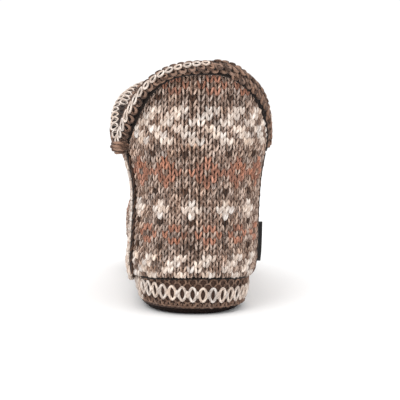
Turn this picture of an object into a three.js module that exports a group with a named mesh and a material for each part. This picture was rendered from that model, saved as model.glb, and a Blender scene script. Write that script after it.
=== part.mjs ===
import * as THREE from "three";

// A right knitted ankle slipper that stands empty on its sole, in millimetres.
// +X is the wearer's outer side, +Y points to the toe and +Z is up, with the floor at z = 0.

// Overall sizes of the foot form and the collar.
const FOOT_LENGTH = 248;
const HEEL_HALF_WIDTH = 37;
const SEAM_SHARE = 0.177;
const REAR_PEAK = 142;
const FRONT_PEAK = 134.5;
const COLLAR_DIP = 98.5;
const UPPER_WALL = 3;
const LEAN = 0.014;
const TOE_SPRING = 5;
const TOE_SWING = 4;
const HEEL_ROUNDNESS = 2.15;
const FRONT_ROUNDNESS = 2.1;

// Sole, side band and footbed.
const SOLE_THICKNESS = 6;
const BAND_HEIGHT = 14;
const BAND_WALL = 3;
const FOOTBED_THICKNESS = 8;
const ARCH_RISE = 1.2;
const FIT = 0.3;

// Folded collar band: how far it stands off the wall on the outer and on the inner side, rises
// over the rim and hangs below it.
const CUFF_REACH_OUTER = 4.6;
const CUFF_REACH_INNER = 8.2;
const CUFF_RISE = 4.2;
const CUFF_DROP = 4.6;

// Seam cords and the folded side tab.
const CORD_RADIUS = 1.7;
const CORD_START = 3;
const TAB_BOTTOM = 26;
const TAB_HEIGHT = 24;
const TAB_REACH = 5;
const TAB_THICKNESS = 1.4;

// How finely the curved walls are faceted.
const REAR_COLUMNS = 28;
const FRONT_COLUMNS = 40;
const WALL_ROWS = 22;
const CUFF_SECTIONS = 30;
const CORD_SECTIONS = 16;
const CORD_SIDES = 10;
const TAB_SECTIONS = 6;
const FINE_STEPS = 60;
const PLACE_STEP = 0.004;

// One row per level of the upper: its height as a share of the rear peak, its side width as a
// share of the heel's, the back and front ends as shares of the length from heel to toe, how
// blunt its front end is, and how much its front half bulges to the sides.
const LEVELS = [
  { rise: 0.145, side: 0.945, back: 0.009, front: 0.991, blunt: 7, splay: 0 },
  { rise: 0.165, side: 0.975, back: 0.004, front: 0.996, blunt: 7, splay: 0 },
  { rise: 0.195, side: 0.992, back: 0.001, front: 0.999, blunt: 7, splay: 0 },
  { rise: 0.235, side: 1.0, back: 0.0, front: 1.0, blunt: 7, splay: 0 },
  { rise: 0.285, side: 1.0, back: 0.001, front: 0.992, blunt: 6.8, splay: 0 },
  { rise: 0.33, side: 0.995, back: 0.003, front: 0.965, blunt: 6.4, splay: 0 },
  { rise: 0.365, side: 0.99, back: 0.005, front: 0.915, blunt: 5.8, splay: 0 },
  { rise: 0.4, side: 0.985, back: 0.007, front: 0.835, blunt: 5, splay: 0 },
  { rise: 0.443, side: 0.98, back: 0.009, front: 0.735, blunt: 4.3, splay: 0 },
  { rise: 0.486, side: 0.98, back: 0.011, front: 0.66, blunt: 3.8, splay: 0 },
  { rise: 0.543, side: 0.99, back: 0.013, front: 0.59, blunt: 3.4, splay: 0.01 },
  { rise: 0.614, side: 1.035, back: 0.016, front: 0.535, blunt: 3.15, splay: 0.03 },
  { rise: 0.7, side: 1.1, back: 0.018, front: 0.5, blunt: 3.1, splay: 0.06 },
  { rise: 0.786, side: 1.11, back: 0.02, front: 0.478, blunt: 3.1, splay: 0.08 },
  { rise: 0.87, side: 1.1, back: 0.02, front: 0.466, blunt: 3.1, splay: 0.08 },
  { rise: 1.05, side: 1.08, back: 0.018, front: 0.458, blunt: 3.1, splay: 0.08 },
];
const WIDEST_RISE = 0.235;

// The two domes of the collar: the crest as a share of the way between the seams, and how
// full the rim stays before the crest and after it.
const REAR_DOME = { peak: REAR_PEAK, crest: 0.42, before: 1.63, after: 3.2 };
const FRONT_DOME = { peak: FRONT_PEAK, crest: 0.5, before: 1.5, after: 2.05 };

// One row per station ahead of the side seams: the widths on the inner and the outer side of the
// foot, as shares of the heel's half width.
const STATIONS = [
  { along: 0.177, inner: 1.0, outer: 1.0 },
  { along: 0.34, inner: 0.98, outer: 1.05 },
  { along: 0.5, inner: 0.96, outer: 1.18 },
  { along: 0.66, inner: 0.99, outer: 1.31 },
  { along: 0.78, inner: 1.01, outer: 1.34 },
  { along: 0.9, inner: 1.0, outer: 1.28 },
  { along: 1.0, inner: 0.92, outer: 1.14 },
];

// One row per corner of the side of the sole and of the band: a share of the height, and the
// inset from the upper's widest outline.
const SOLE_SIDE = [
  { rise: 0, inset: 11.8 },
  { rise: 0.12, inset: 9.8 },
  { rise: 0.45, inset: 7.4 },
  { rise: 1, inset: 5.5 },
];
const BAND_SIDE = [
  { rise: 0, inset: 5.2 },
  { rise: 0.25, inset: 4.2 },
  { rise: 0.5, inset: 3.6 },
  { rise: 0.75, inset: 3.2 },
  { rise: 1, inset: 3.1 },
];

// One row per corner of the folded collar band, from its lower outer edge over the rim to its
// inner edge: the share of its reach off the wall (negative is inside) and of its rise or drop.
const CUFF_CORNERS = [
  { off: 0.05, up: -0.62 },
  { off: 0.3, up: -0.98 },
  { off: 0.68, up: -0.95 },
  { off: 0.95, up: -0.55 },
  { off: 1, up: 0.05 },
  { off: 0.85, up: 0.6 },
  { off: 0.5, up: 0.93 },
  { off: 0.05, up: 1 },
  { off: -0.4, up: 0.8 },
  { off: -0.62, up: 0.4 },
  { off: -0.6, up: 0.1 },
  { off: 0.05, up: 0.1 },
];

const BAND_BASE = SOLE_THICKNESS + FIT;
const HEM = BAND_BASE + BAND_HEIGHT + FIT;
const HEEL_Y = -FOOT_LENGTH / 2;
const SEAM_Y = HEEL_Y + SEAM_SHARE * FOOT_LENGTH;

// Places of the side seams round the foot. The inner one lies a few columns behind the widest
// place, and the outer one is also the end of the round.
const SEAM_SETBACK = 3;
const OUTER_SEAM = 0;
const INNER_SEAM = (REAR_COLUMNS - SEAM_SETBACK) / REAR_COLUMNS;
const FULL_ROUND = 2;
const SEAM_GAP = 0.0012;

const clamp = (value, low, high) => Math.min(high, Math.max(low, value));

const ease = (value) => {
  const t = clamp(value, 0, 1);
  return t * t * (3 - 2 * t);
};

// The slope at each row of a table that keeps the curve through the rows free of overshoot.
function rowSlopes(rows, key, name) {
  const secants = rows.slice(1).map((row, i) => (
    (row[name] - rows[i][name]) / (row[key] - rows[i][key])
  ));
  return rows.map((_, i) => {
    if (i === 0) return secants[0];
    if (i === rows.length - 1) return secants[i - 1];
    const [before, after] = [secants[i - 1], secants[i]];
    return before * after <= 0 ? 0 : (2 * before * after) / (before + after);
  });
}

// A smooth reading of one named column of a table at a value of its key.
function reading(rows, key, name) {
  const slope = rowSlopes(rows, key, name);
  return (at) => {
    const x = clamp(at, rows[0][key], rows[rows.length - 1][key]);
    let i = 0;
    while (i < rows.length - 2 && x > rows[i + 1][key]) i += 1;
    const span = rows[i + 1][key] - rows[i][key];
    const t = (x - rows[i][key]) / span;
    const level = (1 + 2 * t) * (1 - t) ** 2 * rows[i][name] + t * t * (3 - 2 * t) * rows[i + 1][name];
    return level + t * (1 - t) ** 2 * span * slope[i] + t * t * (t - 1) * span * slope[i + 1];
  };
}

const sideAt = reading(LEVELS, "rise", "side");
const backAt = reading(LEVELS, "rise", "back");
const frontAt = reading(LEVELS, "rise", "front");
const bluntAt = reading(LEVELS, "rise", "blunt");
const splayAt = reading(LEVELS, "rise", "splay");
const innerAt = reading(STATIONS, "along", "inner");
const outerAt = reading(STATIONS, "along", "outer");
const bandInsetAt = reading(BAND_SIDE, "rise", "inset");

// The outline of the upper at a height.
function wallForm(height) {
  const rise = height / REAR_PEAK;
  return {
    height,
    inset: 0,
    side: sideAt(rise),
    back: HEEL_Y + FOOT_LENGTH * backAt(rise),
    front: HEEL_Y + FOOT_LENGTH * frontAt(rise),
    blunt: bluntAt(rise),
    splay: splayAt(rise),
  };
}

// The upper's widest outline drawn in by an inset, for the pieces below the hem.
function lowerForm(height, inset) {
  return {
    height,
    inset,
    side: 1,
    back: HEEL_Y + inset,
    front: HEEL_Y + FOOT_LENGTH - inset,
    blunt: bluntAt(WIDEST_RISE),
    splay: 0,
  };
}

// The toe swings to the inner side and lifts, and the shaft leans to the outer side.
function placed(x, y, height) {
  const along = (y - HEEL_Y) / FOOT_LENGTH;
  const swing = TOE_SWING * ease((along - 0.55) / 0.45);
  const spring = TOE_SPRING * clamp((along - 0.76) / 0.24, 0, 1.1) ** 2;
  return new THREE.Vector3(x - swing + LEAN * Math.max(0, height - HEM), y, height + spring);
}

// The rounded heel half at a turn from the outer seam (0) to the inner seam (1).
function rearPoint(form, turn) {
  const angle = Math.PI * turn;
  const across = Math.cos(angle);
  const half = HEEL_HALF_WIDTH * form.side - form.inset;
  const x = half * Math.sign(across) * Math.abs(across) ** (2 / HEEL_ROUNDNESS);
  const back = Math.abs(Math.sin(angle)) ** (2 / HEEL_ROUNDNESS);
  return placed(x, SEAM_Y - (SEAM_Y - form.back) * back, form.height);
}

// The front half from the inner seam round the toe to the outer seam, finely sampled.
function frontLine(form) {
  const points = [];
  for (let i = 0; i <= 2 * FINE_STEPS; i += 1) {
    const inner = i <= FINE_STEPS;
    const towardToe = inner ? i / FINE_STEPS : 2 - i / FINE_STEPS;
    const angle = (Math.PI / 2) * towardToe ** (form.blunt / 2);
    const ahead = Math.sin(angle) ** (2 / form.blunt);
    const y = SEAM_Y + (form.front - SEAM_Y) * ahead;
    const along = (y - HEEL_Y) / FOOT_LENGTH;
    const bulge = 1 + form.splay * 4 * ahead * (1 - ahead);
    const width = HEEL_HALF_WIDTH * (inner ? innerAt(along) : outerAt(along)) * bulge;
    const across = Math.max(0, Math.cos(angle)) ** (2 / FRONT_ROUNDNESS);
    const x = (width * form.side - form.inset) * across;
    points.push(placed(inner ? -x : x, y, form.height));
  }
  return points;
}

// Lengths from the start of a line to each of its points.
function runningLengths(points) {
  const sums = [0];
  for (let i = 1; i < points.length; i += 1) {
    sums.push(sums[i - 1] + points[i].distanceTo(points[i - 1]));
  }
  return sums;
}

// The step of a rising list that holds a value, and how far the value is through that step.
function stepAt(sums, value) {
  let i = 1;
  while (i < sums.length - 1 && sums[i] < value) i += 1;
  return [i, (value - sums[i - 1]) / (sums[i] - sums[i - 1])];
}

// A point of an outline, where place runs 0 to 1 round the heel and 1 to 2 round the front.
function outlinePoint(form, place) {
  const wrapped = (place + 2) % 2;
  if (wrapped <= 1) return rearPoint(form, wrapped);
  const line = frontLine(form);
  const sums = runningLengths(line);
  const [i, share] = stepAt(sums, (wrapped - 1) * sums[sums.length - 1]);
  return line[i - 1].clone().lerp(line[i], share);
}

const wallPoint = (place, height) => outlinePoint(wallForm(height), place);

// The outward normal and the upward tangent of the wall.
function wallFrame(place, height) {
  const up = wallPoint(place, height + 0.5).sub(wallPoint(place, height - 0.5)).normalize();
  const round = wallPoint(place + PLACE_STEP, height).sub(wallPoint(place - PLACE_STEP, height));
  const out = new THREE.Vector3().crossVectors(up, round).normalize();
  return { out, up };
}

// The half of the collar that a place belongs to, with its ends and its dome.
function collarHalf(place) {
  return place <= INNER_SEAM
    ? { from: OUTER_SEAM, to: INNER_SEAM, dome: REAR_DOME }
    : { from: INNER_SEAM, to: FULL_ROUND, dome: FRONT_DOME };
}

// The collar's height: a dome behind and a dome in front that meet low at the side seams.
function rimHeight(place) {
  const { from, to, dome } = collarHalf(place);
  const share = (place - from) / (to - from);
  const before = share < dome.crest;
  const away = before ? 1 - share / dome.crest : (share - dome.crest) / (1 - dome.crest);
  return dome.peak - (dome.peak - COLLAR_DIP) * away ** (before ? dome.before : dome.after);
}

// How far the collar band stands off the wall, growing from the outer to the inner side.
function cuffReach(place) {
  const inward = (1 - Math.cos(Math.PI * place)) / 2;
  return CUFF_REACH_OUTER + (CUFF_REACH_INNER - CUFF_REACH_OUTER) * inward;
}

// Heights up one line of the wall, evenly spaced over its surface from the hem to the rim.
function wallHeights(place) {
  const fine = [];
  for (let i = 0; i <= FINE_STEPS; i += 1) {
    fine.push(HEM + ((rimHeight(place) - HEM) * i) / FINE_STEPS);
  }
  const sums = runningLengths(fine.map((height) => wallPoint(place, height)));
  const heights = [];
  for (let row = 0; row <= WALL_ROWS; row += 1) {
    const [i, share] = stepAt(sums, (row / WALL_ROWS) * sums[sums.length - 1]);
    heights.push(fine[i - 1] + (fine[i] - fine[i - 1]) * share);
  }
  return heights;
}

// The places of the columns round the whole foot.
function columnPlaces() {
  const places = [];
  for (let i = 0; i < REAR_COLUMNS; i += 1) places.push(i / REAR_COLUMNS);
  for (let i = 0; i < FRONT_COLUMNS; i += 1) places.push(1 + i / FRONT_COLUMNS);
  return places;
}

// Triangles to a closed body, turned so that its faces look outward.
function body(points, faces) {
  let volume = 0;
  for (const [a, b, c] of faces) {
    volume += points[a].dot(new THREE.Vector3().crossVectors(points[b], points[c]));
  }
  const geometry = new THREE.BufferGeometry();
  const flat = points.flatMap((point) => [point.x, point.y, point.z]);
  geometry.setAttribute("position", new THREE.Float32BufferAttribute(flat, 3));
  geometry.setIndex(faces.flatMap(([a, b, c]) => (volume > 0 ? [a, b, c] : [a, c, b])));
  geometry.computeVertexNormals();
  return geometry;
}

// A skin over closed profiles of equal length. The sections join into a ring, or each end is
// closed with the triangles that cap gives for one profile.
function loft(sections, cap) {
  const count = sections[0].length;
  const faces = [];
  const spans = cap ? sections.length - 1 : sections.length;
  for (let i = 0; i < spans; i += 1) {
    const here = i * count;
    const next = ((i + 1) % sections.length) * count;
    for (let j = 0; j < count; j += 1) {
      const k = (j + 1) % count;
      faces.push([here + j, next + j, next + k], [here + j, next + k, here + k]);
    }
  }
  if (cap) {
    const last = (sections.length - 1) * count;
    for (const [a, b, c] of cap) {
      faces.push([a, b, c], [last + c, last + b, last + a]);
    }
  }
  return body(sections.flat(), faces);
}

// Cap triangles for a profile whose corners are given in its own plane.
function flatCap(corners) {
  return THREE.ShapeUtils.triangulateShape(corners, []);
}

// Cap triangles that ladder across the foot from the heel to the toe.
function ladderCap() {
  const total = REAR_COLUMNS + FRONT_COLUMNS;
  const heel = REAR_COLUMNS / 2;
  const faces = [[heel, heel + 1, heel - 1]];
  for (let i = 1; i < total / 2; i += 1) {
    const inner = heel + i;
    const outer = (heel - i + total) % total;
    const outerNext = (heel - i - 1 + total) % total;
    faces.push([inner, inner + 1, outer]);
    if (i < total / 2 - 1) faces.push([outer, inner + 1, outerNext]);
  }
  return faces;
}

function slab(rings) {
  return loft(rings, ladderCap());
}

// The underside hollow between the heel and the forefoot, at a height share of the sole.
function archLift(y, rise) {
  const along = (y - HEEL_Y) / FOOT_LENGTH;
  return ARCH_RISE * (1 - rise) * (ease((along - 0.24) / 0.12) - ease((along - 0.5) / 0.12));
}

function outsole() {
  const rings = SOLE_SIDE.map((corner) => columnPlaces().map((place) => {
    const point = outlinePoint(lowerForm(corner.rise * SOLE_THICKNESS, corner.inset), place);
    point.z += archLift(point.y, corner.rise);
    return point;
  }));
  return slab(rings);
}

function footbed() {
  const rises = [0, 0.5, 0.85, 1];
  const softening = [0, 0, 0.4, 2];
  const rings = rises.map((rise, i) => {
    const height = rise * FOOTBED_THICKNESS;
    const inset = bandInsetAt(height / BAND_HEIGHT) + BAND_WALL + FIT + softening[i];
    const form = lowerForm(BAND_BASE + height, inset);
    return columnPlaces().map((place) => outlinePoint(form, place));
  });
  return slab(rings);
}

function sideBand() {
  const outer = BAND_SIDE.map((corner) => ({ rise: corner.rise, inset: corner.inset }));
  const inner = [...BAND_SIDE].reverse().map((corner) => (
    { rise: corner.rise, inset: corner.inset + BAND_WALL }
  ));
  const corners = [...outer, ...inner];
  const forms = corners.map((corner) => lowerForm(BAND_BASE + corner.rise * BAND_HEIGHT, corner.inset));
  return loft(columnPlaces().map((place) => forms.map((form) => outlinePoint(form, place))));
}

// The wall from hem to rim outside and back down inside, one closed profile per column.
function upper() {
  const sections = columnPlaces().map((place) => {
    const outer = [];
    const inner = [];
    wallHeights(place).forEach((height, row) => {
      const point = wallPoint(place, height);
      const { out } = wallFrame(place, height);
      if (row === 0) out.setZ(0).normalize();
      outer.push(point);
      inner.unshift(point.clone().addScaledVector(out, -UPPER_WALL));
    });
    return [...outer, ...inner];
  });
  return loft(sections);
}

// How much longer the collar band measures up the wall than square to the sloping rim.
function rimStretch(place) {
  const { from, to } = collarHalf(place);
  const a = Math.max(place - PLACE_STEP, from + SEAM_GAP / 2);
  const b = Math.min(place + PLACE_STEP, to);
  const rise = rimHeight(b) - rimHeight(a);
  const run = Math.hypot(
    wallPoint(b, rimHeight(place)).x - wallPoint(a, rimHeight(place)).x,
    wallPoint(b, rimHeight(place)).y - wallPoint(a, rimHeight(place)).y,
  );
  return Math.hypot(1, rise / run);
}

// One half of the folded collar band over the rim between two places, with a mitre at each seam.
function cuff(from, to) {
  const sections = [];
  for (let i = 0; i <= CUFF_SECTIONS; i += 1) {
    const place = from + ((to - from) * i) / CUFF_SECTIONS;
    const height = rimHeight(place);
    const base = wallPoint(place, height);
    const { out, up } = wallFrame(place, height);
    const stretch = rimStretch(place);
    const reach = cuffReach(place);
    sections.push(CUFF_CORNERS.map((corner) => {
      const lift = corner.up * (corner.up < 0 ? CUFF_DROP : CUFF_RISE) * stretch;
      return base.clone().addScaledVector(out, corner.off * reach).addScaledVector(up, lift);
    }));
  }
  return loft(sections, flatCap(CUFF_CORNERS.map((corner) => new THREE.Vector2(corner.off, corner.up))));
}

// A round cord that lies on the wall along a side seam, from the hem to below the collar band.
function seamCord(place) {
  const before = rimStretch(place > 0 ? place - SEAM_GAP : FULL_ROUND - SEAM_GAP);
  const after = rimStretch(place + SEAM_GAP);
  const top = COLLAR_DIP - CUFF_DROP * Math.max(before, after) - CORD_RADIUS;
  const sections = [];
  const corners = [];
  for (let j = 0; j < CORD_SIDES; j += 1) {
    const angle = (2 * Math.PI * j) / CORD_SIDES;
    corners.push(new THREE.Vector2(Math.cos(angle), Math.sin(angle)));
  }
  for (let i = 0; i <= CORD_SECTIONS; i += 1) {
    const height = HEM + CORD_START + ((top - HEM - CORD_START) * i) / CORD_SECTIONS;
    const { out, up } = wallFrame(place, height);
    const side = new THREE.Vector3().crossVectors(out, up);
    const centre = wallPoint(place, height).addScaledVector(out, CORD_RADIUS + FIT);
    sections.push(corners.map((corner) => centre.clone()
      .addScaledVector(out, corner.x * CORD_RADIUS)
      .addScaledVector(side, corner.y * CORD_RADIUS)));
  }
  return loft(sections, flatCap(corners));
}

// A folded woven tab that stands out of the outer side seam just ahead of its cord.
function sideTab() {
  const half = TAB_THICKNESS / 2;
  const corners = [
    new THREE.Vector2(0, -half),
    new THREE.Vector2(TAB_REACH - half, -half),
    new THREE.Vector2(TAB_REACH, 0),
    new THREE.Vector2(TAB_REACH - half, half),
    new THREE.Vector2(0, half),
  ];
  const ahead = CORD_RADIUS + FIT + half;
  const sections = [];
  for (let i = 0; i <= TAB_SECTIONS; i += 1) {
    const height = TAB_BOTTOM + (TAB_HEIGHT * i) / TAB_SECTIONS;
    const base = wallPoint(OUTER_SEAM, height);
    sections.push(corners.map((corner) => (
      new THREE.Vector3(base.x + FIT + corner.x, base.y + ahead + corner.y, height)
    )));
  }
  return loft(sections, flatCap(corners));
}

const object = new THREE.Group();

function add(name, geometry, color, roughness) {
  const material = new THREE.MeshStandardMaterial({ color, roughness, metalness: 0 });
  const mesh = new THREE.Mesh(geometry, material);
  mesh.name = name;
  object.add(mesh);
}

add("outsole", outsole(), "#2e211e", 0.85);
add("footbed", footbed(), "#8f7f74", 0.95);
add("side_band", sideBand(), "#6d5447", 0.95);
add("upper", upper(), "#9a867b", 0.95);
add("cuff_back", cuff(OUTER_SEAM + SEAM_GAP, INNER_SEAM - SEAM_GAP), "#5a4439", 0.95);
add("cuff_front", cuff(INNER_SEAM + SEAM_GAP, FULL_ROUND - SEAM_GAP), "#5a4439", 0.95);
add("seam_cord_outer", seamCord(OUTER_SEAM), "#4a3427", 0.95);
add("seam_cord_inner", seamCord(INNER_SEAM), "#4a3427", 0.95);
add("side_tab", sideTab(), "#171110", 0.8);

// The origin is at the floor under the middle of the whole slipper.
const middle = new THREE.Box3().setFromObject(object).getCenter(new THREE.Vector3());
object.children.forEach((mesh) => mesh.geometry.translate(-middle.x, -middle.y, 0));

export default object;
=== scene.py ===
import math

import bpy
import numpy as np
from mathutils import Matrix, Vector


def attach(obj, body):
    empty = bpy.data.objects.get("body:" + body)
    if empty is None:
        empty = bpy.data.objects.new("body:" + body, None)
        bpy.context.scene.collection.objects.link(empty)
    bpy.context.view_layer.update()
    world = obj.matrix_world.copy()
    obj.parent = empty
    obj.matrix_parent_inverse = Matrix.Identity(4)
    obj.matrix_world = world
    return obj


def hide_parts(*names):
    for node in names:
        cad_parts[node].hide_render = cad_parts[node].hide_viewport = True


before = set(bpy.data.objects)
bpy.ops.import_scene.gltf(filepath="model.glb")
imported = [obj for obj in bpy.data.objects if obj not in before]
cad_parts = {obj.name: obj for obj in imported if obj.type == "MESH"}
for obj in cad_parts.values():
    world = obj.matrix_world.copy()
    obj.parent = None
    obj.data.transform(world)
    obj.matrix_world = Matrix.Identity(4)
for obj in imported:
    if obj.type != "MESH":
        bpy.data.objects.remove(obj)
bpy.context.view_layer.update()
bpy.ops.object.select_all(action="DESELECT")

MM = 0.001
chance = np.random.default_rng(7)

# The slipper's own sizes in millimetres.
FOOT_LENGTH = 248.0
HEEL_HALF_WIDTH = 37.0
SEAM_SHARE = 0.177
REAR_PEAK = 142.0
FRONT_PEAK = 134.5
COLLAR_DIP = 98.5
REAR_DOME = (REAR_PEAK, 0.5, 1.75, 3.0)
FRONT_DOME = (FRONT_PEAK, 0.5, 1.5, 2.05)
INNER_SEAM = 25 / 28
SEAM_GAP = 0.0012
UPPER_WALL = 3.0
LEAN = 0.014
TOE_SPRING = 5.0
TOE_SWING = 4.0
HEEL_ROUNDNESS = 2.15
FRONT_ROUNDNESS = 2.1
SOLE_THICKNESS = 6.0
BAND_HEIGHT = 14.0
BAND_WALL = 3.0
FOOTBED_THICKNESS = 8.0
FIT = 0.3
CUFF_REACH_OUTER = 4.6
CUFF_REACH_INNER = 8.2
CUFF_REACH_FULL = 2.0
CUFF_RISE = 4.2
CUFF_DROP = 4.6
TAB_BOTTOM = 26.0
TAB_HEIGHT = 24.0
TAB_REACH = 5.0
TAB_AHEAD = 2.7
SOLE_ARCH = 1.2
BAND_BASE = SOLE_THICKNESS + FIT
HEM = BAND_BASE + BAND_HEIGHT + FIT
HEM_RISE = 2.1
SKIRT = 2.6
HEEL_Y = -FOOT_LENGTH / 2
SEAM_Y = HEEL_Y + SEAM_SHARE * FOOT_LENGTH
MIDDLE = (-0.4816, 1.1108)

# Levels of the upper: height over the rear peak, side, back, front, blunt, splay.
LEVELS = np.array([
    (0.145, 0.945, 0.009, 0.991, 7, 0), (0.165, 0.975, 0.004, 0.996, 7, 0),
    (0.195, 0.992, 0.001, 0.999, 7, 0), (0.235, 1.0, 0.0, 1.0, 7, 0),
    (0.285, 1.0, 0.001, 0.992, 6.8, 0), (0.33, 0.995, 0.003, 0.965, 6.4, 0),
    (0.365, 0.99, 0.005, 0.915, 5.8, 0), (0.4, 0.985, 0.007, 0.835, 5, 0),
    (0.443, 0.98, 0.009, 0.735, 4.3, 0), (0.486, 0.98, 0.011, 0.66, 3.8, 0),
    (0.543, 0.99, 0.013, 0.59, 3.4, 0.01), (0.614, 1.035, 0.016, 0.535, 3.15, 0.03),
    (0.7, 1.1, 0.018, 0.5, 3.1, 0.06), (0.786, 1.11, 0.02, 0.478, 3.1, 0.08),
    (0.87, 1.1, 0.02, 0.466, 3.1, 0.08), (1.05, 1.08, 0.018, 0.458, 3.1, 0.08),
])
# Widths of the inner and the outer side ahead of the side seams.
STATIONS = np.array([
    (0.177, 1.0, 1.0), (0.34, 0.98, 1.05), (0.5, 0.96, 1.18), (0.66, 0.99, 1.31),
    (0.78, 1.01, 1.34), (0.9, 1.0, 1.28), (1.0, 0.92, 1.14),
])
SOLE_SIDE = np.array([(0, 11.8), (0.12, 9.8), (0.45, 7.4), (1, 5.5)])
BAND_SIDE = np.array([(0, 5.2), (0.25, 4.2), (0.5, 3.6), (0.75, 3.2), (1, 3.1)])
CUFF_CORNERS = np.array([
    (0.05, -0.62), (0.3, -0.98), (0.68, -0.95), (0.95, -0.55), (1, 0.05), (0.85, 0.6),
    (0.5, 0.93), (0.05, 1), (-0.4, 0.8), (-0.62, 0.42), (-0.6, 0.1),
])

PICTURE = 400
SENSOR = 36.0


# Camera: straight on the heel, a little from the inner side and from above.
def set_camera(azimuth, elevation, distance, aim, mm_per_pixel, middle, roll):
    a, e = math.radians(azimuth), math.radians(elevation)
    back = Vector((math.sin(a) * math.cos(e), -math.cos(a) * math.cos(e), math.sin(e)))
    lens = bpy.data.cameras.new("camera")
    lens.sensor_width = SENSOR
    lens.lens = SENSOR * distance / (PICTURE * mm_per_pixel * MM)
    lens.shift_x = (PICTURE / 2 - middle[0]) / PICTURE
    lens.shift_y = (middle[1] - PICTURE / 2) / PICTURE
    lens.clip_start = 0.01
    camera = bpy.data.objects.new("camera", lens)
    bpy.context.collection.objects.link(camera)
    turn = back.to_track_quat("Z", "Y").to_matrix() @ Matrix.Rotation(math.radians(roll), 3, "Z")
    camera.matrix_world = Matrix.Translation(Vector(aim) + back * distance) @ turn.to_4x4()
    bpy.context.scene.camera = camera


set_camera(azimuth=-4.36, elevation=5.34, distance=0.645, aim=(0.0016, -0.122, 0.065),
           mm_per_pixel=0.565, middle=(201.7, 203.8), roll=0.54)


# Lines, directions and tables of points.
def unit(vectors):
    return vectors / np.maximum(np.linalg.norm(vectors, axis=-1, keepdims=True), 1e-9)


def run_along(line):
    """How far along a line each of its points lies."""
    return np.concatenate([[0], np.cumsum(np.linalg.norm(np.diff(line, axis=0), axis=1))])


def at_lengths(at, sums, line):
    return np.stack([np.interp(at, sums, column) for column in line.T], -1)


def outward(points):
    """The outward direction of a closed sheet of places round the foot and heights."""
    round_ = np.roll(points, -1, 0) - np.roll(points, 1, 0)
    return unit(np.cross(np.gradient(points, axis=1), round_))


class Sheet:
    """Tables of points and outward directions, read anywhere between their entries."""

    def _mix(self, table, i, k, j, s, t):
        s, t = s[..., None], t[..., None]
        low = table[i, j] * (1 - s) + table[k, j] * s
        high = table[i, j + 1] * (1 - s) + table[k, j + 1] * s
        return low * (1 - t) + high * t

    def at(self, *spot):
        return self._mix(self.points, *self.cell(*spot))

    def out(self, *spot):
        return unit(self._mix(self.outs, *self.cell(*spot)))

    def read(self, *spot):
        return self.at(*spot), self.out(*spot)


# The form of the foot.
def reading(rows, column):
    x, y = rows[:, 0], rows[:, column]
    secant = np.diff(y) / np.diff(x)
    slope = np.zeros(len(x))
    slope[0], slope[-1] = secant[0], secant[-1]
    for i in range(1, len(x) - 1):
        before, after = secant[i - 1], secant[i]
        slope[i] = 2 * before * after / (before + after) if before * after > 0 else 0

    def read(at):
        at = np.clip(at, x[0], x[-1])
        i = np.clip(np.searchsorted(x, at) - 1, 0, len(x) - 2)
        span = x[i + 1] - x[i]
        t = (at - x[i]) / span
        level = (1 + 2 * t) * (1 - t) ** 2 * y[i] + t * t * (3 - 2 * t) * y[i + 1]
        return level + t * (1 - t) ** 2 * span * slope[i] + t * t * (t - 1) * span * slope[i + 1]

    return read


side_at, back_at, front_at, blunt_at, splay_at = (reading(LEVELS, i) for i in range(1, 6))
inner_at, outer_at = reading(STATIONS, 1), reading(STATIONS, 2)
band_inset_at = reading(BAND_SIDE, 1)
sole_inset_at = reading(SOLE_SIDE, 1)


def ease(value):
    t = np.clip(value, 0, 1)
    return t * t * (3 - 2 * t)


def wall_form(height):
    rise = height / REAR_PEAK
    return {
        "inset": 0.0, "side": side_at(rise), "back": HEEL_Y + FOOT_LENGTH * back_at(rise),
        "front": HEEL_Y + FOOT_LENGTH * front_at(rise), "blunt": blunt_at(rise),
        "splay": splay_at(rise),
    }


def lower_form(inset):
    return {
        "inset": inset, "side": 1.0, "back": HEEL_Y + inset,
        "front": HEEL_Y + FOOT_LENGTH - inset, "blunt": blunt_at(0.235), "splay": 0.0,
    }


def placed(x, y, height):
    along = (y - HEEL_Y) / FOOT_LENGTH
    swing = TOE_SWING * ease((along - 0.55) / 0.45)
    spring = TOE_SPRING * np.clip((along - 0.76) / 0.24, 0, 1.1) ** 2
    lean = LEAN * np.maximum(0, height - HEM)
    return np.stack([x - swing + lean + MIDDLE[0], y + MIDDLE[1], height + spring], -1)


def rear_points(form, turn, height):
    angle = math.pi * turn
    across = np.cos(angle)
    half = HEEL_HALF_WIDTH * form["side"] - form["inset"]
    x = half * np.sign(across) * np.abs(across) ** (2 / HEEL_ROUNDNESS)
    back = np.abs(np.sin(angle)) ** (2 / HEEL_ROUNDNESS)
    return placed(x, SEAM_Y - (SEAM_Y - form["back"]) * back, height)


def front_points(form, share, height):
    step = np.linspace(0, 2, 721)
    inner = step <= 1
    toward = np.where(inner, step, 2 - step)
    angle = math.pi / 2 * toward ** (form["blunt"] / 2)
    ahead = np.sin(angle) ** (2 / form["blunt"])
    y = SEAM_Y + (form["front"] - SEAM_Y) * ahead
    along = (y - HEEL_Y) / FOOT_LENGTH
    bulge = 1 + form["splay"] * 4 * ahead * (1 - ahead)
    width = HEEL_HALF_WIDTH * np.where(inner, inner_at(along), outer_at(along)) * bulge
    across = np.maximum(0, np.cos(angle)) ** (2 / FRONT_ROUNDNESS)
    x = (width * form["side"] - form["inset"]) * across * np.where(inner, -1, 1)
    line = placed(x, y, height)
    sums = run_along(line)
    return at_lengths(share * sums[-1], sums, line)


def outline(form, places, height):
    wrapped = np.mod(places, 2)
    rear = rear_points(form, np.minimum(wrapped, 1), height)
    front = front_points(form, np.clip(wrapped - 1, 0, 1), height)
    return np.where((wrapped <= 1)[:, None], rear, front)


# Where the knit stands off or draws in: place, height, reach round the foot, reach upward, out.
SLACK = (
    (1.0, 93.0, 0.17, 17.0, 2.6), (1.17, 124.0, 0.12, 12.0, -2.4), (0.0, 76.0, 0.22, 24.0, 1.4),
    (1.0, 26.0, 0.13, 11.0, 2.0),
)


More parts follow.
